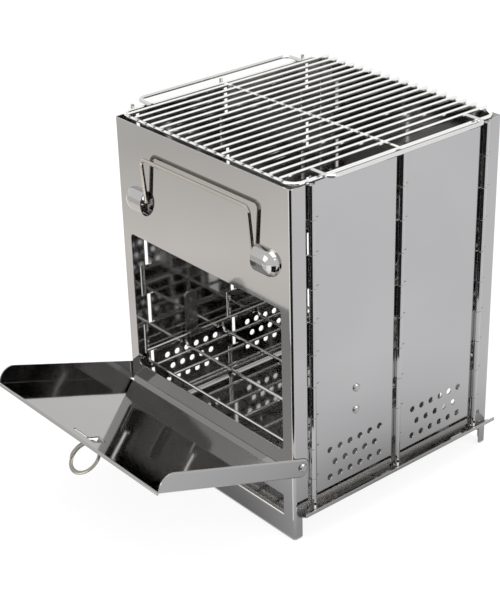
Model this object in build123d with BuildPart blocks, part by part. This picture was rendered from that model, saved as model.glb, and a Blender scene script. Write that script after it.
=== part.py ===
from build123d import *
import os
from math import cos, radians, sin

os.makedirs("parts", exist_ok=True)

# Folding sheet-metal wood stove with a grill grate, standing open as it is used.
# The origin is on the floor, in the middle of the four feet.
# The feed door faces -Y, the carrying bail is above it, and +Z is up.

# Body
width = 176.0
depth = 185.0
height = 250.0
sheet = 0.8
bend = 2.2
half_w = width / 2
half_d = depth / 2
wall_in = half_w - sheet
wall_mid = half_w - sheet / 2
foot_height = 20.0
foot_depth = 7.0
foot_corner = 1.5

# Facets of the round pieces that repeat
knuckle_sides = 10
pin_sides = 12
wire_sides = 8
vent_sides = 8

# Rolled hinges, three on each side wall
pin_d = 2.6
pin_fit = 0.05
bore_r = pin_d / 2 + pin_fit
knuckle_r = bore_r + sheet
hinge_x = wall_in + knuckle_r
leaf_span = 76.5
hinge_ys = [-leaf_span, 0.0, leaf_span]
segments = 10
pitch = (height - foot_height) / segments
end_gap = 0.15
setback = knuckle_r + 1.7
relief_w = 0.6
relief_l = 2.4
pin_proud = 4.0
pin_sunk = 0.4

# Air holes in the leaves
vent_d = 4.8
vent_pitch = 9.0
vent_rows = [(57.3, 6), (46.8, 5), (36.4, 6)]

# Front panel
opening_w = 156.0
opening_low = 66.0
opening_high = 168.0
opening_r = 3.0
slot_w = 155.0
slot_high = 31.5
ledge_top = 16.8
ledge_depth = 13.5
ledge_bend = 2.0

# Ears for the bail, open towards the middle and rounded at their outer ends
ear_x = 56.5
ear_len = 12.0
ear_z = 196.5
ear_out = 6.0
ear_high = 9.0
ear_wall = 0.7
ear_steps = 4

# Bail
bail_wire = 2.6
bail_y = -half_d - 1.7
bail_z = 197.5
bail_top_half = 54.5
bail_foot_half = 54.8
bail_rise = 33.0
bail_lean = 5.0
bail_corner = 4.0
bail_tail = 9.0

# Rear panel
rear_hem = 5.5
tab_w = 14.0
rear_tab_x = 50.0
grate_tab_top = 67.6
grate_tab_l = 8.6
tray_tab_l = 12.0

# Feed door, drawn level with its pivot at the origin and then tilted
door_open = 19.0
pivot_y = -86.0
pivot_z = 55.4
door_gap = 0.4
door_in = half_w + door_gap
door_out = door_in + sheet
door_floor = 7.0
wing_top = 6.0
door_len = 118.5
door_start = 7.6
wing_tail = 6.2
wing_tail_r = 5.5
wing_tip_r = 10.0
door_bend = 1.6
hem_r = 1.5
hem_l = 3.5
rivet_d = 4.0
rivet_head_d = 6.4
rivet_head_h = 1.5
rivet_tail_d = 6.0

# Lanced eye of the door, the slot beside it and the ring
eye_x = 10.0
eye_s = 107.3
eye_len = 9.2
eye_r = 5.7
eye_wall = 0.7
eye_sides = 18
slit_x = -2.4
slit_len = 15.0
slit_w = 2.0
slit_s = 111.0
ring_wire = 2.8
ring_r = 11.0
ring_drop = 2.2
ring_hang = 54.0
ring_steps = 24

# Grate brackets
bracket_y = -37.5
bracket_w = 11.0
bracket_top = 102.0
bracket_rivet_zs = [79.0, 95.5]
bracket_rivet_d = 3.0
bracket_head_d = 5.8
bracket_head_h = 1.3
hook_r = 2.0
hook_sides = 16
hook_z = 69.3
hook_lip = 3.2

# Fire grate
fire_wire = 2.2
rail_x = 84.9
rail_z = 69.0
bar_z = 61.0
fire_front = -79.5
fire_rear = 86.0
bar_step = 34.9
bar_bend = 2.0
bar_count = 5
fire_rod_step = 19.75

# Cooking grate
wire = 2.2
rod_count = 18
rod_step = 9.0
grate_x = 86.4
grate_y = 88.5
grate_corner = 8.0
grate_z = height + 1.3
handle_x = 96.3
handle_in = 79.5
handle_y = 67.5
handle_corner = 6.0

# Tray
tray_low = 17.0
tray_x = 95.6
tray_reach = 85.0
tray_ear = 88.2
tray_rise = 3.4
tray_rim = 5.8

segment_zs = [foot_height + pitch * k for k in range(segments)]
upper_zs = segment_zs[1::2]
lower_zs = segment_zs[0::2]


def save(piece, name):
    piece.label = name
    export_step(piece, f"parts/{name}.step")


def wall_box(y_low, y_high, z_low, z_high, mode=Mode.ADD):
    """A rectangle of the right wall's sheet."""
    with Locations((wall_mid, (y_low + y_high) / 2, (z_low + z_high) / 2)):
        Box(sheet, y_high - y_low, z_high - z_low, mode=mode)


def knuckles(hinge_y, side, zs):
    """Rolled segments round one hinge line, each joined to its sheet on one side."""
    planes = [Plane.XY.offset(z + end_gap) for z in zs]
    with BuildSketch(*planes) as profile:
        with Locations((hinge_x, hinge_y)):
            RegularPolygon(knuckle_r, knuckle_sides)
        with Locations((wall_mid, hinge_y + side * setback / 2)):
            Rectangle(sheet, setback)
        with Locations((hinge_x, hinge_y)):
            RegularPolygon(bore_r, knuckle_sides, major_radius=False, mode=Mode.SUBTRACT)
    extrude(profile.sketch, amount=pitch - 2 * end_gap)


def reliefs(edge_y):
    """Slits that part the knuckles, cut on into the sheet behind its set-back edge."""
    with Locations(*[(wall_mid, edge_y + relief_l / 2, z) for z in segment_zs[1:]]):
        Box(2 * sheet, relief_l, relief_w, mode=Mode.SUBTRACT)


def vents(centre_y):
    for row_z, count in vent_rows:
        plane = Plane(origin=(half_w, centre_y, row_z), x_dir=(0, 1, 0), z_dir=(1, 0, 0))
        with BuildSketch(plane) as holes:
            with GridLocations(vent_pitch, 1, count, 1):
                RegularPolygon(vent_d / 2, vent_sides, rotation=180 / vent_sides)
        extrude(holes.sketch, amount=-2 * sheet, mode=Mode.SUBTRACT)


def shaft(x_low, x_high, y, z_points, radius, mode=Mode.ADD):
    """Short many-sided shafts along X, one at each height."""
    plane = Plane(origin=(x_low, y, 0), x_dir=(0, 1, 0), z_dir=(1, 0, 0))
    with BuildSketch(plane) as profile:
        with Locations(*[(0, z) for z in z_points]):
            RegularPolygon(radius, pin_sides)
    extrude(profile.sketch, amount=x_high - x_low, mode=mode)


def bracket_rivet_holes():
    radius = bracket_rivet_d / 2 + 2 * pin_fit
    shaft(wall_in - 3 * sheet, half_w + sheet, bracket_y, bracket_rivet_zs, radius, Mode.SUBTRACT)


def make_leaf(front_y, rear_y, front_zs, rear_zs, bracket_holes):
    """One right-hand leaf: sheet, knuckles on both upright edges, air holes."""
    with BuildPart() as leaf:
        wall_box(front_y + setback, rear_y - setback, foot_height, height)
        knuckles(front_y, 1, front_zs)
        knuckles(rear_y, -1, rear_zs)
        reliefs(front_y + setback)
        vents((front_y + rear_y) / 2)
        if bracket_holes:
            bracket_rivet_holes()
    return leaf


front_leaf = make_leaf(hinge_ys[0], hinge_ys[1], lower_zs, upper_zs, True)
rear_leaf = make_leaf(hinge_ys[1], hinge_ys[2], lower_zs, upper_zs, False)


def channel(length, z_low, z_high):
    """Front plate with both side flanges, length deep from the front face."""
    with BuildSketch(Plane.XY.offset(z_low)) as profile:
        with Locations((0, length - half_d)):
            RectangleRounded(width, 2 * length, bend)
            RectangleRounded(width - 2 * sheet, 2 * length - 2 * sheet, bend - sheet, mode=Mode.SUBTRACT)
        with Locations((0, 1.5 * length - half_d + 0.5)):
            Rectangle(2 * width, length + 1, mode=Mode.SUBTRACT)
    extrude(profile.sketch, amount=z_high - z_low)


def mirrored(piece):
    with BuildPart() as other:
        mirror(piece.part, about=Plane.YZ)
    return other


def round_feet(builder):
    """Round the lower rear corner of each foot and of each flange above it."""
    foot_y = foot_depth - half_d
    flange_y = -leaf_span - setback
    for y, z in [(foot_y, 0.0), (flange_y, foot_height)]:
        corners = builder.edges().filter_by(Axis.X)
        corners = corners.filter_by_position(Axis.Y, y - 0.01, y + 0.01)
        corners = corners.filter_by_position(Axis.Z, z - 0.01, z + 0.01)
        fillet(corners, foot_corner)


def ear_form(shrink):
    """The right ear as a solid form: half a flattened tube that ends in half a dome."""
    out = ear_out - shrink
    high = ear_high - shrink
    turns = [radians(90 * k / ear_steps) for k in range(ear_steps + 1)]
    curve = [(high * cos(turn), out * sin(turn)) for turn in turns]
    dome_x = ear_x + ear_len
    with BuildPart(mode=Mode.PRIVATE) as form:
        with BuildSketch(Plane.YZ.offset(ear_x)) as profile:
            with BuildLine():
                upper = [(-half_d - y, ear_z + z) for z, y in curve]
                lower = [(-half_d - y, ear_z - z) for z, y in curve]
                inner = [(2 - half_d, ear_z - high), (2 - half_d, ear_z + high)]
                Polyline(*upper, *lower[-2::-1], *inner, close=True)
            make_face()
        extrude(profile.sketch, amount=ear_len)
        dome_plane = Plane(origin=(dome_x, -half_d, ear_z), x_dir=(1, 0, 0), z_dir=(0, 0, 1))
        with BuildSketch(dome_plane) as dome:
            with BuildLine():
                Polyline(*[(z, -y) for z, y in curve], (0, 2), (high, 2), close=True)
            make_face()
        revolve(dome.sketch, axis=Axis((dome_x, -half_d, ear_z), (0, 1, 0)))
    return form


# Front panel
with BuildPart() as front_panel:
    channel(half_d - leaf_span - setback, foot_height, height)
    channel(foot_depth, 0, foot_height)
    round_feet(front_panel)
    with BuildPart(mode=Mode.PRIVATE) as one_side:
        knuckles(-leaf_span, -1, upper_zs)
    add(one_side.part)
    mirror(one_side.part, about=Plane.YZ)
    # fuel opening
    with BuildSketch(Plane.XZ.offset(half_d)):
        with Locations((0, (opening_low + opening_high) / 2)):
            RectangleRounded(opening_w, opening_high - opening_low, opening_r)
    extrude(amount=-2 * sheet, mode=Mode.SUBTRACT)
    # air slot, whose flap is bent inward to carry the tray
    slot_low = ledge_top - ledge_bend
    with Locations((0, sheet - half_d, (slot_low + slot_high) / 2)):
        Box(slot_w, 4 * sheet, slot_high - slot_low, mode=Mode.SUBTRACT)
    with BuildSketch(Plane.YZ) as flap:
        with Locations((ledge_bend - half_d, slot_low)):
            Circle(ledge_bend)
            Circle(ledge_bend - sheet, mode=Mode.SUBTRACT)
        with Locations((ledge_bend - half_d + 5, slot_low)):
            Rectangle(10, 10, mode=Mode.SUBTRACT)
        with Locations((ledge_bend - half_d, slot_low - 5)):
            Rectangle(10, 10, mode=Mode.SUBTRACT)
        with Locations((ledge_bend - half_d + (ledge_depth - ledge_bend) / 2, ledge_top - sheet / 2)):
            Rectangle(ledge_depth - ledge_bend, sheet)
    extrude(amount=slot_w / 2 - 0.5, both=True)
    # ears for the bail, pressed out of the plate
    with BuildPart(mode=Mode.PRIVATE) as one_ear:
        add(ear_form(0).part)
        with Locations((ear_x, sheet - half_d + 10, ear_z)):
            Box(100, 20, 100, mode=Mode.SUBTRACT)
    add(one_ear.part)
    mirror(one_ear.part, about=Plane.YZ)
    hollow = ear_form(ear_wall)
    add(hollow.part, mode=Mode.SUBTRACT)
    mirror(hollow.part, about=Plane.YZ, mode=Mode.SUBTRACT)
    # holes for the door rivets
    shaft(-width, width, pivot_y, [pivot_z], rivet_d / 2 + 2 * pin_fit, Mode.SUBTRACT)

# Rear panel, drawn at the front and then turned to the back
tab_planes = [(grate_tab_top, grate_tab_l), (ledge_top, tray_tab_l)]
with BuildPart() as rear_panel:
    channel(half_d - leaf_span - setback, foot_height, height)
    channel(foot_depth, 0, foot_height)
    round_feet(rear_panel)
    # raised lower edge between the feet
    with BuildSketch(Plane.XZ.offset(half_d)):
        with Locations((0, 0)):
            Rectangle(width - 14, 2 * rear_hem)
    extrude(amount=-2 * sheet, mode=Mode.SUBTRACT)
    # tabs pressed inward, with the windows that they leave above them
    for tab_top, tab_l in tab_planes:
        window_z = tab_top + tab_l / 2
        with Locations((-rear_tab_x, sheet - half_d, window_z), (rear_tab_x, sheet - half_d, window_z)):
            Box(tab_w + 0.6, 4 * sheet, tab_l, mode=Mode.SUBTRACT)
        tab_y = tab_l / 2 - half_d
        with Locations((-rear_tab_x, tab_y, tab_top - sheet / 2), (rear_tab_x, tab_y, tab_top - sheet / 2)):
            Box(tab_w, tab_l, sheet)
    mirror(about=Plane.XZ, mode=Mode.REPLACE)
    with BuildPart(mode=Mode.PRIVATE) as one_side:
        knuckles(leaf_span, 1, lower_zs)
    add(one_side.part)
    mirror(one_side.part, about=Plane.YZ)
    with BuildPart(mode=Mode.PRIVATE) as slits:
        with Locations(*[(wall_mid, leaf_span + setback + relief_l / 2, z) for z in segment_zs[1:]]):
            Box(2 * sheet, relief_l, relief_w)
    add(slits.part, mode=Mode.SUBTRACT)
    mirror(slits.part, about=Plane.YZ, mode=Mode.SUBTRACT)

left_front_leaf = mirrored(front_leaf)
left_rear_leaf = mirrored(rear_leaf)
save(front_panel.part, "front_panel")
save(rear_panel.part, "rear_panel")
save(front_leaf.part, "right_front_leaf")
save(rear_leaf.part, "right_rear_leaf")
save(left_front_leaf.part, "left_front_leaf")
save(left_rear_leaf.part, "left_rear_leaf")

# Hinge pins: the left three stand proud, the right three are sunk
for row, hinge_y in zip(("front", "middle", "rear"), hinge_ys):
    for name, side, top in [("left", -1, height + pin_proud), ("right", 1, height - pin_sunk)]:
        pin_low = foot_height + 0.5
        with BuildPart() as pin:
            with BuildSketch(Plane.XY.offset(pin_low)):
                with Locations((side * hinge_x, hinge_y)):
                    RegularPolygon(pin_d / 2, pin_sides)
            extrude(amount=top - pin_low)
        save(pin.part, f"{name}_{row}_pin")

# Grate brackets: a strip on the inner face of the leaf with a hook at its foot
strip_in = wall_in - sheet
hook_x = strip_in - hook_r
with BuildPart() as bracket:
    with BuildSketch(Plane.XZ.offset(-bracket_y)):
        with Locations((wall_in - sheet / 2, (hook_z + bracket_top) / 2)):
            Rectangle(sheet, bracket_top - hook_z)
        with Locations((hook_x, hook_z)):
            RegularPolygon(hook_r + sheet, hook_sides)
            RegularPolygon(hook_r, hook_sides, mode=Mode.SUBTRACT)
        with Locations((hook_x, hook_z + 5)):
            Rectangle(2 * hook_r, 10, mode=Mode.SUBTRACT)
        with Locations((hook_x - hook_r - 5, hook_z + 5)):
            Rectangle(10, 10, mode=Mode.SUBTRACT)
        with Locations((hook_x - hook_r - sheet / 2, hook_z + hook_lip / 2)):
            Rectangle(sheet, hook_lip)
    extrude(amount=bracket_w / 2, both=True)
    fillet(bracket.edges().filter_by(Axis.X).group_by(Axis.Z)[-1], 4)
    bracket_rivet_holes()
save(bracket.part, "right_grate_bracket")
save(mirrored(bracket).part, "left_grate_bracket")

with BuildPart() as bracket_rivets:
    shaft(strip_in, half_w, bracket_y, bracket_rivet_zs, bracket_rivet_d / 2)
    shaft(half_w, half_w + bracket_head_h, bracket_y, bracket_rivet_zs, bracket_head_d / 2)
    chamfer(bracket_rivets.edges().group_by(Axis.X)[-1], 0.8)
save(bracket_rivets.part, "right_bracket_rivets")
save(mirrored(bracket_rivets).part, "left_bracket_rivets")

# Door rivets, each through a flange of the front panel and a wing of the door
with BuildPart() as door_rivet:
    rivet_reach = door_out + 0.1
    shaft(wall_in - sheet, wall_in, pivot_y, [pivot_z], rivet_tail_d / 2)
    shaft(wall_in, rivet_reach, pivot_y, [pivot_z], rivet_d / 2)
    shaft(rivet_reach, rivet_reach + rivet_head_h, pivot_y, [pivot_z], rivet_head_d / 2)
    chamfer(door_rivet.edges().group_by(Axis.X)[-1], 0.9)
save(door_rivet.part, "right_door_rivet")
save(mirrored(door_rivet).part, "left_door_rivet")

# Feed door, level, with its pivot at the origin
door_under = -door_floor - sheet
with BuildPart() as flat_door:
    with BuildSketch(Plane.YZ):
        with Locations(((wing_tail - door_len) / 2, (wing_top + door_under) / 2)):
            outline = Rectangle(door_len + wing_tail, wing_top - door_under)
        rear_corners = outline.vertices().group_by(Axis.X)[-1]
        fillet(rear_corners, wing_tail_r)
        fillet(outline.vertices().group_by(Axis.X)[0].sort_by(Axis.Y)[-1], wing_tip_r)
    extrude(amount=door_out, both=True)
    fillet(flat_door.edges().filter_by(Axis.Y).group_by(Axis.Z)[0], door_bend)
    with Locations((0, -door_len / 2, 10 - door_floor)):
        Box(2 * door_in, 2 * door_len, 20, mode=Mode.SUBTRACT)
    with Locations((0, 25 - door_start, 0)):
        Box(2 * door_in, 50, 50, mode=Mode.SUBTRACT)
    # hem rolled under the free edge
    with Locations((0, hem_r / 2 - door_len, -door_floor)):
        Box(2 * door_in, hem_r, 4 * sheet, mode=Mode.SUBTRACT)
    with BuildSketch(Plane.YZ) as hem:
        with Locations((hem_r - door_len, -door_floor - hem_r)):
            Circle(hem_r)
            Circle(hem_r - sheet, mode=Mode.SUBTRACT)
        with Locations((hem_r - door_len + 5, -door_floor - hem_r)):
            Rectangle(10, 10, mode=Mode.SUBTRACT)
        with Locations((hem_r - door_len + hem_l / 2, sheet / 2 - door_floor - 2 * hem_r)):
            Rectangle(hem_l, sheet)
    extrude(hem.sketch, amount=door_in, both=True)
    # lanced eye for the ring and the slit beside it
    eye_plane = Plane.YZ.offset(eye_x - eye_len / 2)
    with BuildSketch(eye_plane) as eye:
        with Locations((-eye_s, door_under + sheet / 2)):
            RegularPolygon(eye_r, eye_sides)
    extrude(eye.sketch, amount=eye_len)
    with Locations((eye_x, -eye_s, 10 - door_floor)):
        Box(eye_len + 1, 2 * eye_r + 2, 20, mode=Mode.SUBTRACT)
    with BuildSketch(eye_plane) as eye_hollow:
        with Locations((-eye_s, door_under + sheet / 2)):
            RegularPolygon(eye_r - eye_wall, eye_sides)
    extrude(eye_hollow.sketch, amount=eye_len, mode=Mode.SUBTRACT)
    with Locations((slit_x, -slit_s, door_under)):
        Box(slit_len, slit_w, 4 * sheet, mode=Mode.SUBTRACT)
    # pivot holes
    shaft(-width, width, 0, [0], rivet_d / 2 + 2 * pin_fit, Mode.SUBTRACT)
with BuildPart() as feed_door:
    with Locations((0, pivot_y, pivot_z)):
        add(flat_door.part, rotation=(-door_open, 0, 0))
save(feed_door.part, "feed_door")

# Ring through the eye of the door; its top lies on the swing axis
tilt = radians(door_open)
ring_s = eye_s
ring_t = door_floor + sheet / 2 + ring_drop
ring_y = pivot_y - ring_s * cos(tilt) - ring_t * sin(tilt)
ring_z = pivot_z + ring_s * sin(tilt) - ring_t * cos(tilt)
hang = radians(ring_hang)
ring_mid = (eye_x, ring_y - ring_r * sin(hang), ring_z - ring_r * cos(hang))
ring_down = (0, -sin(hang), -cos(hang))
ring_normal = (0, cos(hang), -sin(hang))
ring_plane = Plane(origin=ring_mid, x_dir=(1, 0, 0), z_dir=ring_normal)


def wire_end(path, diameter):
    """Eight-sided wire section, square to the start of a path, with flats up and down."""
    with BuildSketch(Plane(origin=path @ 0, z_dir=path % 0)) as section:
        RegularPolygon(diameter / 2, wire_sides, major_radius=False, rotation=180 / wire_sides)
    return section.sketch


ring_turns = [radians(360 * (k + 0.5) / ring_steps) for k in range(ring_steps)]
ring_corners = [(ring_r * cos(turn), ring_r * sin(turn)) for turn in ring_turns]
ring_start = (ring_r * cos(ring_turns[0]), 0)
with BuildPart() as pull_ring:
    with BuildLine(ring_plane) as ring_path:
        Polyline(ring_start, *ring_corners, close=True)
    sweep(wire_end(ring_path.line, ring_wire), path=ring_path.line, transition=Transition.RIGHT)
save(pull_ring.part, "pull_ring")


def wire_run(points, diameter, radius, close=False):
    """Wire bent along a run of points."""
    with BuildPart() as run:
        with BuildLine() as path:
            FilletPolyline(*points, radius=radius, close=close)
        sweep(wire_end(path.line, diameter), path=path.line)
    return run


# Bail, its ends turned outward into the ears
lean = radians(bail_lean)
bail_top_y = bail_y - bail_rise * sin(lean)
bail_top_z = bail_z + bail_rise * cos(lean)
tail_end = bail_foot_half + bail_tail
bail_points = [
    (-tail_end, bail_y, bail_z),
    (-bail_foot_half, bail_y, bail_z),
    (-bail_top_half, bail_top_y, bail_top_z),
    (bail_top_half, bail_top_y, bail_top_z),
    (bail_foot_half, bail_y, bail_z),
    (tail_end, bail_y, bail_z),
]
bail = wire_run(bail_points, bail_wire, bail_corner)
save(bail.part, "bail_handle")

# Fire grate: a frame open to the front, raised-end bars and rods under the bars
rail_points = [
    (-rail_x, fire_front - 1, rail_z),
    (-rail_x, fire_rear, rail_z),
    (rail_x, fire_rear, rail_z),
    (rail_x, fire_front - 1, rail_z),
]
fire_frame = wire_run(rail_points, fire_wire, 6)
save(fire_frame.part, "fire_grate_frame")
bar_ys = [fire_front + bar_step * k for k in range(bar_count)]
leg_top = rail_z - fire_wire / 2
with BuildPart() as fire_bars:
    for bar_y in bar_ys:
        with BuildLine() as bar_path:
            Polyline(
                (-rail_x, bar_y, leg_top),
                (-rail_x, bar_y, bar_z + bar_bend),
                (-rail_x + bar_bend, bar_y, bar_z),
                (rail_x - bar_bend, bar_y, bar_z),
                (rail_x, bar_y, bar_z + bar_bend),
                (rail_x, bar_y, leg_top),
            )
        bar_section = wire_end(bar_path.line, fire_wire)
        sweep(bar_section, path=bar_path.line, transition=Transition.RIGHT)
save(fire_bars.part, "fire_grate_bars")
rod_xs = [-2 * fire_rod_step + 2, -2 * fire_rod_step - 2]
rod_xs += [fire_rod_step * k for k in (-4, -3, -1, 0, 1, 2, 3, 4)]
fire_rod_front = bar_ys[0] - 1.5
fire_rod_len = bar_ys[-1] - bar_ys[0] + 3
fire_rod_z = bar_z - fire_wire
with BuildPart() as fire_rods:
    with BuildSketch(Plane.XZ.offset(-fire_rod_front)):
        with Locations(*[(x, fire_rod_z) for x in rod_xs]):
            RegularPolygon(fire_wire / 2, wire_sides, major_radius=False, rotation=180 / wire_sides)
    extrude(amount=-fire_rod_len)
save(fire_rods.part, "fire_grate_rods")

# Cooking grate
frame_points = [
    (-grate_x, -grate_y, grate_z),
    (grate_x, -grate_y, grate_z),
    (grate_x, grate_y, grate_z),
    (-grate_x, grate_y, grate_z),
]
grate_frame = wire_run(frame_points, wire, grate_corner, close=True)
save(grate_frame.part, "cooking_grate_frame")
rod_z = grate_z + wire
rod_reach = grate_y + 1.6
with BuildPart() as grate_rods:
    with BuildSketch(Plane.XZ.offset(rod_reach)):
        with Locations((0, rod_z)):
            with GridLocations(rod_step, 1, rod_count, 1):
                RegularPolygon(wire / 2, wire_sides, major_radius=False, rotation=180 / wire_sides)
    extrude(amount=-2 * rod_reach)
save(grate_rods.part, "cooking_grate_rods")
crossbar_reach = grate_x - wire / 2
with BuildPart() as crossbar:
    with BuildSketch(Plane.YZ.offset(-crossbar_reach)):
        with Locations((0, grate_z)):
            RegularPolygon(wire / 2, wire_sides, major_radius=False, rotation=180 / wire_sides)
    extrude(amount=2 * crossbar_reach)
save(crossbar.part, "cooking_grate_crossbar")
handle_wire = 2.6
handle_z = grate_z + wire / 2 + handle_wire / 2
handle_points = [
    (handle_in, -handle_y, handle_z),
    (handle_x, -handle_y, handle_z),
    (handle_x, handle_y, handle_z),
    (handle_in, handle_y, handle_z),
]
handle = wire_run(handle_points, handle_wire, handle_corner)
save(handle.part, "right_grate_handle")
save(mirrored(handle).part, "left_grate_handle")

# Bottom tray: a floor that reaches under the leaves, with a gutter rising along each side
gutter_len = 181.0
gutter_y = 2.0
with BuildPart() as tray:
    with BuildSketch(Plane.XY.offset(tray_low)):
        Rectangle(2 * (wall_in - 0.6), 2 * 91)
        Rectangle(2 * (tray_ear + 0.6), 2 * tray_reach)
    extrude(amount=sheet)
    with BuildSketch(Plane.XZ.offset(gutter_len / 2 - gutter_y)) as gutters:
        with BuildLine():
            Polyline(
                (tray_ear, tray_low),
                (tray_x, tray_low + tray_rise),
                (tray_x, tray_low + tray_rim),
                (tray_x - sheet, tray_low + tray_rim),
                (tray_x - sheet, tray_low + tray_rise + 0.35),
                (tray_ear, tray_low + sheet),
                close=True,
            )
        make_face()
        mirror(about=Plane.YZ)
    extrude(gutters.sketch, amount=-gutter_len)
save(tray.part, "bottom_tray")
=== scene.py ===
import math

import bmesh
import bpy
from mathutils import Matrix, Vector


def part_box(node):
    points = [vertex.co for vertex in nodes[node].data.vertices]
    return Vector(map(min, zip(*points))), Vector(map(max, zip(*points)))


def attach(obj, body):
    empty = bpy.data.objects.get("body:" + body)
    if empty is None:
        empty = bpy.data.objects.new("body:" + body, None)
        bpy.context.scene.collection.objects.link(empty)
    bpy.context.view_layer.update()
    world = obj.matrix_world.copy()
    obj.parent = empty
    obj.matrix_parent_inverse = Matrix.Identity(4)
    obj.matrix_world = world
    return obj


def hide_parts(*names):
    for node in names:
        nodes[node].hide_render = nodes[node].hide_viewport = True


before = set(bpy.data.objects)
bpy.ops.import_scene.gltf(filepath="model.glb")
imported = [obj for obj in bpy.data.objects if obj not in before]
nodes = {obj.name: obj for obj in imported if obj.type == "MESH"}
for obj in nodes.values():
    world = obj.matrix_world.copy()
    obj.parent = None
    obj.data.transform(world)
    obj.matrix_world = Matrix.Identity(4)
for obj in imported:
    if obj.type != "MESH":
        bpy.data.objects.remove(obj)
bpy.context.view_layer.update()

# Lengths are in metres, angles in degrees or put through math.radians, and tones in linear light.

# Photograph's view
AZIMUTH = 50.62
ELEVATION = 26.86
ROLL = -1.615
AIM = Vector((-0.01052, -0.04408, 0.125))
DISTANCE = 1.04166
LENS = 91.25
SENSOR_WIDTH = 36
CLIP_START = 0.01

# Steel tones
SHEET_TONE = (0.460, 0.452, 0.445)
LEAF_TONE = (0.470, 0.465, 0.460)
DOOR_TONE = (0.380, 0.375, 0.368)
TRAY_TONE = (0.46, 0.455, 0.445)
STRIP_TONE = (0.40, 0.39, 0.37)
PIN_TONE = (0.42, 0.41, 0.40)
WIRE_TONE = (0.90, 0.90, 0.88)
HANDLE_TONE = (0.70, 0.70, 0.68)
FIRE_WIRE_TONE = (0.62, 0.62, 0.60)
BAIL_TONE = (0.46, 0.43, 0.39)
RING_TONE = (0.30, 0.28, 0.25)
# Painted shade for the tray's gutters
GUTTER_SHADE_TONE = (0.02, 0.02, 0.02, 1)

# Steel surface: scales of its noises and the part of their range in use. The grain takes roughness
# from SMOOTHER to ROUGHER times a metal's own.
DRIFT_SCALE = 9.0
DRIFT_DETAIL = 2.0
GRAIN_SCALE = 900.0
GRAIN_DETAIL = 4.0
WAVE_SCALE = 11.0
WAVE_DETAIL = 1.0
WAVE_STRETCH = (1, 1, 0.6)
NOISE_LOW = 0.3
NOISE_HIGH = 0.7
SMOOTHER = 0.8
ROUGHER = 1.25
GRAIN_STRENGTH = 0.25
GRAIN_HEIGHT = 0.000005
BEVEL_SAMPLES = 4
SHEET_EDGE = 0.0003
WIRE_EDGE = 0.0002

# Stretch of the grain: upright, across the stove, or from front to back
UPRIGHT = (1, 1, 0.04)
ALONG_X = (0.03, 1, 1)
ALONG_Y = (1, 0.03, 1)

# Feed door: how far it stands open, its pivot in y and z, then lengths forward from the pivot
# (DOOR_LENGTH, HEM_FROM) and square to its plate (WING_TOP, HEM_LOW)
DOOR_OPEN = math.radians(19)
DOOR_PIVOT = (-0.0860, 0.0554)
DOOR_LENGTH = 0.1185
WING_TOP = 0.0060
WING_TIP_R = 0.0100
WING_TIP_STEP = 6
HEM_FROM = 0.112
HEM_LOW = -0.0088
SHARP_ANGLE = math.radians(25)
SAME_PLACE = 2e-6
CUT_TOLERANCE = 1e-7

# Split ring: spread, flat, inset and end are shares of the wire's radius
RING_R = 0.0110
RING_WIRE_R = 0.0014
RING_HANG = math.radians(54)
RING_START = math.radians(150)
RING_TURNS = 1.22
RING_STEPS = 150
RING_SIDES = 14
RING_SPREAD = 0.52
RING_FLAT = 0.42
RING_INSET = 0.05
RING_END = 0.55
RING_TAPER = 12

# Floor: share of plain white in it as it is seen, and the strength of that white
FLOOR_SHARE = 0.75
FLOOR_WHITE = 1.15
FLOOR_SIZE = 40
FLOOR_HEIGHT = -0.0003
FLOOR_TONE = (0.93, 0.93, 0.93, 1)
FLOOR_ROUGHNESS = 0.7

# Cards that only the metal sees. They lie in layers just above the floor, and the topmost counts.
# Oblongs are given by left, front, right and rear.
TABLETOP_HEIGHT = 0.001
UNDER_DOOR_HEIGHT = 0.0015
WEDGE_HEIGHT = 0.002
TABLETOP = (-1.5, -1.5, 1.5, 1.5)
UNDER_DOOR = (-0.18, -0.18, 0, -0.125)
FRONT_RIGHT_CORNER = (0.088, -0.0925)
TABLETOP_STRENGTH = 1.0
UNDER_DOOR_STRENGTH = 0.45
DARK_STRENGTH = 0.02
BRIGHT_STRENGTH = 1.6

# Tabletop: its shade by distance from the middle of the stove, and its cast by x + y + CAST_SHIFT
TABLETOP_SHADES = [(0.10, 0.26), (0.125, 0.5), (0.16, 0.75), (0.21, 0.92), (0.27, 1.0)]
CAST_SHIFT = 1.0
TABLETOP_CAST = [
    (0.0, (0.80, 0.79, 0.755)),
    (0.18, (0.91, 0.895, 0.86)),
    (0.36, (1.07, 1.03, 0.99)),
    (0.48, (1.0, 0.965, 0.93)),
    (0.66, (1.0, 0.97, 0.94)),
    (0.85, (1.0, 1.0, 1.03)),
]

# World: strength of its light, and of its white as it is seen
WORLD_LIGHT = 0.62
WORLD_WHITE = 1.0

# Area lamps: name, place, point they face, width and height, power in watts
LAMPS = [
    ("overhead", (0.1, -0.1, 1.9), (0, 0, 0.1), (1.6, 1.6), 18),
    ("right_side", (1.6, 0.5, 1.0), (0, 0, 0.12), (0.9, 1.2), 10),
    ("front_side", (-0.9, -1.7, 0.9), (0, 0, 0.12), (0.9, 0.9), 5),
]


def new_object(name, data):
    """Put data into the scene as an object."""
    thing = bpy.data.objects.new(name, data)
    bpy.context.scene.collection.objects.link(thing)
    return thing


def new_tree(name):
    """A new material and its node tree."""
    material = bpy.data.materials.new(name)
    material.use_nodes = True
    return material, material.node_tree


def feed(tree, socket, value):
    """Link an output to an input, or set the input to a plain value."""
    if isinstance(value, bpy.types.NodeSocket):
        tree.links.new(value, socket)
    else:
        socket.default_value = value


def new_node(tree, kind, **inputs):
    """Add a node and feed its inputs, given by name with underscores for spaces."""
    node = tree.nodes.new(kind)
    for name, value in inputs.items():
        feed(tree, node.inputs[name.replace("_", " ")], value)
    return node


def object_place(tree):
    return tree.nodes.new("ShaderNodeTexCoord").outputs["Object"]


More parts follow.
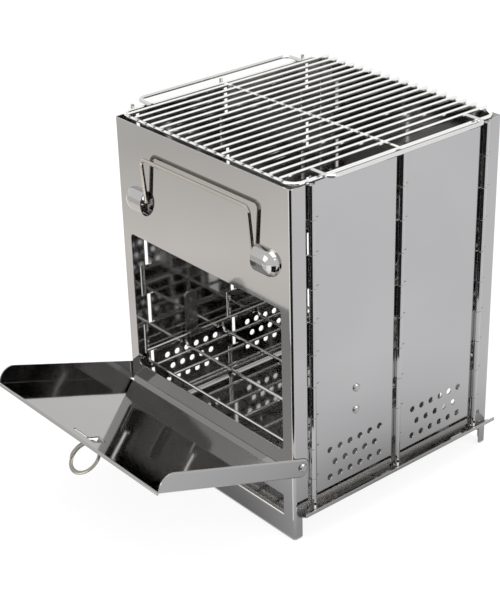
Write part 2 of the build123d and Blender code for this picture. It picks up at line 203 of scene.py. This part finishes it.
def axes_of(tree, vector):
    return new_node(tree, "ShaderNodeSeparateXYZ", Vector=vector).outputs


def maths(tree, operation, *values, clamp=False):
    node = tree.nodes.new("ShaderNodeMath")
    node.operation = operation
    node.use_clamp = clamp
    for socket, value in zip(node.inputs, values):
        feed(tree, socket, value)
    return node.outputs[0]


def map_range(tree, value, start, end, low=0, high=1):
    node = new_node(
        tree, "ShaderNodeMapRange", Value=value,
        From_Min=start, From_Max=end, To_Min=low, To_Max=high,
    )
    return node.outputs["Result"]


def mix_colours(tree, factor, first, second, blend="MIX"):
    node = tree.nodes.new("ShaderNodeMix")
    node.data_type = "RGBA"
    node.blend_type = blend
    for name, value in (("Factor", factor), ("A", first), ("B", second)):
        feed(tree, node.inputs[name], value)
    return node.outputs["Result"]


def mix_shaders(tree, factor, first, second):
    node = tree.nodes.new("ShaderNodeMixShader")
    for socket, source in zip(node.inputs, (factor, first, second)):
        feed(tree, socket, source)
    return node.outputs[0]


def colour_ramp(tree, value, stops):
    """Colours at places from 0 to 1, blended in between."""
    node = new_node(tree, "ShaderNodeValToRGB", Fac=value)
    elements = node.color_ramp.elements
    while len(elements) < len(stops):
        elements.new(0.5)
    for element, (position, colour) in zip(elements, stops):
        element.position = position
        element.color = (*colour, 1)
    return node.outputs["Color"]


def noise_node(tree, vector, scale, detail, stretch=(1, 1, 1)):
    """Noise over object coordinates, stretched along one axis for rolled or drawn grain."""
    mapping = new_node(tree, "ShaderNodeMapping", Vector=vector, Scale=stretch)
    noise = new_node(
        tree, "ShaderNodeTexNoise", Vector=mapping.outputs["Vector"], Scale=scale, Detail=detail
    )
    return noise.outputs["Fac"]


def spread(tree, noise, low, high):
    """Map the part of a noise's range that is in use on to low to high."""
    return map_range(tree, noise, NOISE_LOW, NOISE_HIGH, low, high)


def metal(name, tone, rough, grain=(1, 1, 1), wave=0.0, edge=SHEET_EDGE, tint=0.04):
    """Bright steel: slow drift of tone, fine grain in its gloss, faint waves, soft edges."""
    material, tree = new_tree(name)
    shader = tree.nodes["Principled BSDF"]
    feed(tree, shader.inputs["Metallic"], 1.0)
    place = object_place(tree)

    drift = noise_node(tree, place, DRIFT_SCALE, DRIFT_DETAIL)
    darker = [c * (1 - tint) for c in tone] + [1]
    lighter = [min(1, c * (1 + tint)) for c in tone] + [1]
    colour = mix_colours(tree, spread(tree, drift, 0.0, 1.0), darker, lighter)
    feed(tree, shader.inputs["Base Color"], colour)

    fine = noise_node(tree, place, GRAIN_SCALE, GRAIN_DETAIL, grain)
    feed(tree, shader.inputs["Roughness"], spread(tree, fine, rough * SMOOTHER, rough * ROUGHER))

    bevel = new_node(tree, "ShaderNodeBevel", Radius=edge)
    bevel.samples = BEVEL_SAMPLES
    bump = new_node(
        tree, "ShaderNodeBump", Strength=GRAIN_STRENGTH, Distance=GRAIN_HEIGHT, Height=fine,
        Normal=bevel.outputs["Normal"],
    )
    normal = bump.outputs["Normal"]
    if wave:
        slow = noise_node(tree, place, WAVE_SCALE, WAVE_DETAIL, WAVE_STRETCH)
        ripple = new_node(
            tree, "ShaderNodeBump", Strength=1.0, Distance=wave, Height=slow, Normal=normal
        )
        normal = ripple.outputs["Normal"]
    feed(tree, shader.inputs["Normal"], normal)
    return material


def paint_gutter_shade(material, near, full, out, clear, depth):
    """Darken the metal with painted shade in a band on both sides, where the gutters lie in shade.

    Outwards from the middle it fades in from near to full, and out again from out to clear.
    """
    tree = material.node_tree
    base = tree.nodes["Principled BSDF"].inputs["Base Color"]
    colour = base.links[0].from_socket
    away = maths(tree, "ABSOLUTE", axes_of(tree, object_place(tree))["X"])
    inner = map_range(tree, away, near, full)
    outer = map_range(tree, away, out, clear, depth, 0)
    band = maths(tree, "MULTIPLY", inner, outer)
    feed(tree, base, mix_colours(tree, band, colour, GUTTER_SHADE_TONE))


def dress(material, *names):
    """Give carried-over nodes a material."""
    for name in names:
        mesh = nodes[name].data
        mesh.materials.clear()
        mesh.materials.append(material)


sheet_steel = metal("sheet_steel", SHEET_TONE, rough=0.055, grain=UPRIGHT, wave=0.00025)
leaf_steel = metal("leaf_steel", LEAF_TONE, rough=0.055, grain=UPRIGHT, wave=0.0002)
door_steel = metal("door_steel", DOOR_TONE, rough=0.06, grain=ALONG_X, wave=0.0004)
tray_steel = metal("tray_steel", TRAY_TONE, rough=0.08, grain=ALONG_Y, wave=0.0003)
strip_steel = metal("strip_steel", STRIP_TONE, rough=0.2, grain=UPRIGHT)
rivet_steel = metal("rivet_steel", PIN_TONE, rough=0.24, edge=WIRE_EDGE)
pin_steel = metal("pin_steel", PIN_TONE, rough=0.16, grain=UPRIGHT, edge=WIRE_EDGE)
grate_wire = metal("grate_wire", WIRE_TONE, rough=0.08, grain=ALONG_Y, edge=WIRE_EDGE, tint=0.03)
handle_wire = metal(
    "handle_wire", HANDLE_TONE, rough=0.10, grain=ALONG_Y, edge=WIRE_EDGE, tint=0.03
)
fire_wire = metal(
    "fire_wire", FIRE_WIRE_TONE, rough=0.12, grain=ALONG_X, edge=WIRE_EDGE, tint=0.05
)
bail_wire = metal("bail_wire", BAIL_TONE, rough=0.14, grain=ALONG_X, edge=WIRE_EDGE, tint=0.1)
ring_wire = metal("ring_wire", RING_TONE, rough=0.16, edge=WIRE_EDGE, tint=0.08)

# Painted shade in the tray's gutters along both walls
paint_gutter_shade(tray_steel, near=0.084, full=0.0875, out=0.0895, clear=0.0940, depth=0.35)

dress(sheet_steel, "front_panel", "rear_panel")
dress(leaf_steel, "left_front_leaf", "left_rear_leaf", "right_front_leaf", "right_rear_leaf")
dress(tray_steel, "bottom_tray")
dress(strip_steel, "left_grate_bracket", "right_grate_bracket")
dress(rivet_steel, "left_bracket_rivets", "right_bracket_rivets")
dress(rivet_steel, "left_door_rivet", "right_door_rivet")
dress(pin_steel, "left_front_pin", "left_middle_pin", "left_rear_pin")
dress(pin_steel, "right_front_pin", "right_middle_pin", "right_rear_pin")
dress(grate_wire, "cooking_grate_frame", "cooking_grate_rods", "cooking_grate_crossbar")
dress(handle_wire, "left_grate_handle", "right_grate_handle")
dress(fire_wire, "fire_grate_frame", "fire_grate_bars", "fire_grate_rods")
dress(bail_wire, "bail_handle")


def on_door(s, t, origin=DOOR_PIVOT):
    """Place on the open door: s forward from the pivot, t square to its plate."""
    return Vector((
        0,
        origin[0] - s * math.cos(DOOR_OPEN) + t * math.sin(DOOR_OPEN),
        origin[1] + s * math.sin(DOOR_OPEN) + t * math.cos(DOOR_OPEN),
    ))


def door_direction(s, t):
    return on_door(s, t, (0, 0)).normalized()


def trim(mesh, faces, place, outward):
    """Cut off what lies beyond a plane and close the cut."""
    # a dict keeps its order, and so the mesh comes out the same each run
    geometry = dict.fromkeys(faces)
    for face in faces:
        geometry.update(dict.fromkeys(face.verts))
        geometry.update(dict.fromkeys(face.edges))
    bmesh.ops.bisect_plane(
        mesh, geom=list(geometry), dist=CUT_TOLERANCE, plane_co=place, plane_no=outward,
        clear_outer=True,
    )
    rim = [
        edge for edge in mesh.edges
        if edge.is_boundary
        and all(abs((vert.co - place).dot(outward)) < SAME_PLACE for vert in edge.verts)
    ]
    bmesh.ops.holes_fill(mesh, edges=rim, sides=0)


def finished_door():
    """Feed door of the CAD, with the front corners of its wings rounded and a flatter hem."""
    mesh = bmesh.new()
    mesh.from_mesh(nodes["feed_door"].data)
    bmesh.ops.remove_doubles(mesh, verts=mesh.verts, dist=SAME_PLACE)
    middle = on_door(DOOR_LENGTH - WING_TIP_R, WING_TOP - WING_TIP_R)
    for degrees in range(WING_TIP_STEP, 90, WING_TIP_STEP):
        angle = math.radians(degrees)
        outward = door_direction(math.cos(angle), math.sin(angle))
        trim(mesh, list(mesh.faces), middle + outward * WING_TIP_R, outward)
    front = door_direction(1, 0)
    pivot = on_door(0, 0)
    hem = [
        face for face in mesh.faces
        if all((vert.co - pivot).dot(front) > HEM_FROM for vert in face.verts)
    ]
    trim(mesh, hem, on_door(DOOR_LENGTH, HEM_LOW), door_direction(0, -1))
    bmesh.ops.recalc_face_normals(mesh, faces=mesh.faces)
    for edge in mesh.edges:
        edge.smooth = len(edge.link_faces) == 2 and edge.calc_face_angle() < SHARP_ANGLE
    for face in mesh.faces:
        face.smooth = True
    data = bpy.data.meshes.new("finished_door")
    mesh.to_mesh(data)
    mesh.free()
    if "custom_normal" in data.attributes:
        data.attributes.remove(data.attributes["custom_normal"])
    data.materials.append(door_steel)
    door = new_object("finished_door", data)
    door.modifiers.new("even_normals", "WEIGHTED_NORMAL").keep_sharp = True
    return door


door = finished_door()
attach(door, "feed_door")
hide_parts("feed_door")


def split_ring():
    """Wire coiled a little more than once, its ends lying side by side."""
    low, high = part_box("pull_ring")
    centre = (low + high) / 2
    down = Vector((0, -math.sin(RING_HANG), -math.cos(RING_HANG)))
    across = Vector((1, 0, 0))
    normal = across.cross(down)
    mesh = bmesh.new()
    loops = []
    for step in range(RING_STEPS + 1):
        turn = step / RING_STEPS
        angle = 2 * math.pi * RING_TURNS * turn + RING_START
        ray = across * math.cos(angle) + down * math.sin(angle)
        # the coil crosses its middle plane from side to side, so that its ends pass each other
        shift = (turn - 0.5) * 2 * RING_WIRE_R * RING_SPREAD
        middle = centre + ray * (RING_R - RING_WIRE_R * RING_INSET) + normal * shift
        taper = min(1, RING_END + RING_TAPER * min(turn, 1 - turn))
        loop = []
        for side in range(RING_SIDES):
            a = 2 * math.pi * side / RING_SIDES
            offset = ray * math.cos(a) * RING_WIRE_R
            offset += normal * math.sin(a) * RING_WIRE_R * RING_FLAT
            loop.append(mesh.verts.new(middle + offset * taper))
        loops.append(loop)
    for first, second in zip(loops, loops[1:]):
        for side in range(RING_SIDES):
            after = (side + 1) % RING_SIDES
            mesh.faces.new((first[side], first[after], second[after], second[side]))
    mesh.faces.new(list(reversed(loops[0])))
    mesh.faces.new(loops[-1])
    bmesh.ops.recalc_face_normals(mesh, faces=mesh.faces)
    data = bpy.data.meshes.new("split_ring")
    mesh.to_mesh(data)
    mesh.free()
    for polygon in data.polygons:
        polygon.use_smooth = len(polygon.vertices) == 4
    data.materials.append(ring_wire)
    return new_object("split_ring", data)


ring = split_ring()
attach(ring, "pull_ring")
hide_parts("pull_ring")


def seen_rays(tree):
    """One for camera, glossy and transmission rays, nought for all others."""
    path = tree.nodes.new("ShaderNodeLightPath").outputs
    either = maths(tree, "ADD", path["Is Camera Ray"], path["Is Glossy Ray"])
    return maths(tree, "ADD", either, path["Is Transmission Ray"], clamp=True)


# Floor: pale in diffuse light, and mostly plain white to the eye, with a soft shadow left in it
bpy.ops.mesh.primitive_plane_add(size=FLOOR_SIZE, location=(0, 0, FLOOR_HEIGHT))
floor = bpy.context.object
floor.name = "floor"
floor_paint, tree = new_tree("floor_paint")
lit = tree.nodes["Principled BSDF"]
feed(tree, lit.inputs["Base Color"], FLOOR_TONE)
feed(tree, lit.inputs["Roughness"], FLOOR_ROUGHNESS)
glow = new_node(tree, "ShaderNodeEmission", Strength=FLOOR_WHITE)
share = maths(tree, "MULTIPLY", seen_rays(tree), FLOOR_SHARE)
blend = mix_shaders(tree, share, lit.outputs[0], glow.outputs[0])
feed(tree, tree.nodes["Material Output"].inputs["Surface"], blend)
floor.data.materials.append(floor_paint)


def gloss_card(name, corners, strength):
    """A studio card that only shows in the gloss of the metal."""
    data = bpy.data.meshes.new(name)
    data.from_pydata(corners, [], [(0, 1, 2, 3)])
    paint, tree = new_tree(name + "_paint")
    tree.nodes.remove(tree.nodes["Principled BSDF"])
    glow = new_node(tree, "ShaderNodeEmission", Strength=strength)
    feed(tree, tree.nodes["Material Output"].inputs["Surface"], glow.outputs[0])
    data.materials.append(paint)
    card = new_object(name, data)
    card.visible_camera = False
    card.visible_diffuse = False
    card.visible_shadow = False
    card.visible_transmission = False
    return tree, glow


def oblong(left, front, right, rear, height):
    """Corners of a level oblong."""
    return [
        (left, front, height), (right, front, height), (right, rear, height), (left, rear, height)
    ]


def wedge(first, last, near, far):
    """Corners of a level sector around the front right corner of the stove.

    Bearings run from straight ahead towards the right.
    """
    points = []
    for bearing, reach in ((first, near), (last, near), (last, far), (first, far)):
        angle = math.radians(bearing)
        points.append((
            FRONT_RIGHT_CORNER[0] + reach * math.sin(angle),
            FRONT_RIGHT_CORNER[1] - reach * math.cos(angle),
            WEDGE_HEIGHT,
        ))
    return points


# Tabletop as the metal sees it: shaded close to the stove, dimmer and warmer far to the front left
tree, glow = gloss_card("tabletop", oblong(*TABLETOP, TABLETOP_HEIGHT), TABLETOP_STRENGTH)
place = object_place(tree)
far_out = tree.nodes.new("ShaderNodeVectorMath")
far_out.operation = "LENGTH"
feed(tree, far_out.inputs[0], place)
greys = [(reach, (shade, shade, shade)) for reach, shade in TABLETOP_SHADES]
shade = colour_ramp(tree, far_out.outputs["Value"], greys)
axes = axes_of(tree, place)
diagonal = maths(tree, "ADD", maths(tree, "ADD", axes["X"], axes["Y"]), CAST_SHIFT)
cast = colour_ramp(tree, diagonal, TABLETOP_CAST)
feed(tree, glow.inputs["Color"], mix_colours(tree, 1, shade, cast, "MULTIPLY"))

# Shaded strip under the door, and the wedges that the upright bends of the front panel mirror
gloss_card("under_door", oblong(*UNDER_DOOR, UNDER_DOOR_HEIGHT), UNDER_DOOR_STRENGTH)
gloss_card("dark_wedge", wedge(first=4, last=84, near=0.15, far=1.2), DARK_STRENGTH)
gloss_card("bright_wedge", wedge(first=-24, last=2, near=0.02, far=0.9), BRIGHT_STRENGTH)

# World: even light, and plain white to the camera and in reflections
world = bpy.data.worlds.new("studio")
bpy.context.scene.world = world
world.use_nodes = True
tree = world.node_tree
tree.nodes.clear()
output = tree.nodes.new("ShaderNodeOutputWorld")
light = new_node(tree, "ShaderNodeBackground", Strength=WORLD_LIGHT)
white = new_node(tree, "ShaderNodeBackground", Color=(1, 1, 1, 1), Strength=WORLD_WHITE)
sky = mix_shaders(tree, seen_rays(tree), light.outputs[0], white.outputs[0])
feed(tree, output.inputs["Surface"], sky)

for name, place, target, size, power in LAMPS:
    data = bpy.data.lights.new(name, "AREA")
    data.shape = "RECTANGLE"
    data.size, data.size_y = size
    data.energy = power
    lamp = new_object(name, data)
    lamp.location = place
    lamp.rotation_mode = "QUATERNION"
    lamp.rotation_quaternion = (Vector(target) - Vector(place)).to_track_quat("-Z", "Y")

# Camera at the photograph's view
azimuth = math.radians(AZIMUTH)
elevation = math.radians(ELEVATION)
roll = math.radians(ROLL)
back = Vector((
    math.sin(azimuth) * math.cos(elevation),
    -math.cos(azimuth) * math.cos(elevation),
    math.sin(elevation),
))
level = Vector((math.cos(azimuth), math.sin(azimuth), 0))
above = back.cross(level)
right = level * math.cos(roll) + above * math.sin(roll)
up = above * math.cos(roll) - level * math.sin(roll)
camera_data = bpy.data.cameras.new("camera")
camera_data.lens = LENS
camera_data.sensor_width = SENSOR_WIDTH
camera_data.clip_start = CLIP_START
camera = new_object("camera", camera_data)
turn = Matrix((right, up, back)).transposed()
camera.matrix_world = Matrix.Translation(AIM + back * DISTANCE) @ turn.to_4x4()
bpy.context.scene.camera = camera
bpy.context.scene.view_settings.view_transform = "Standard"
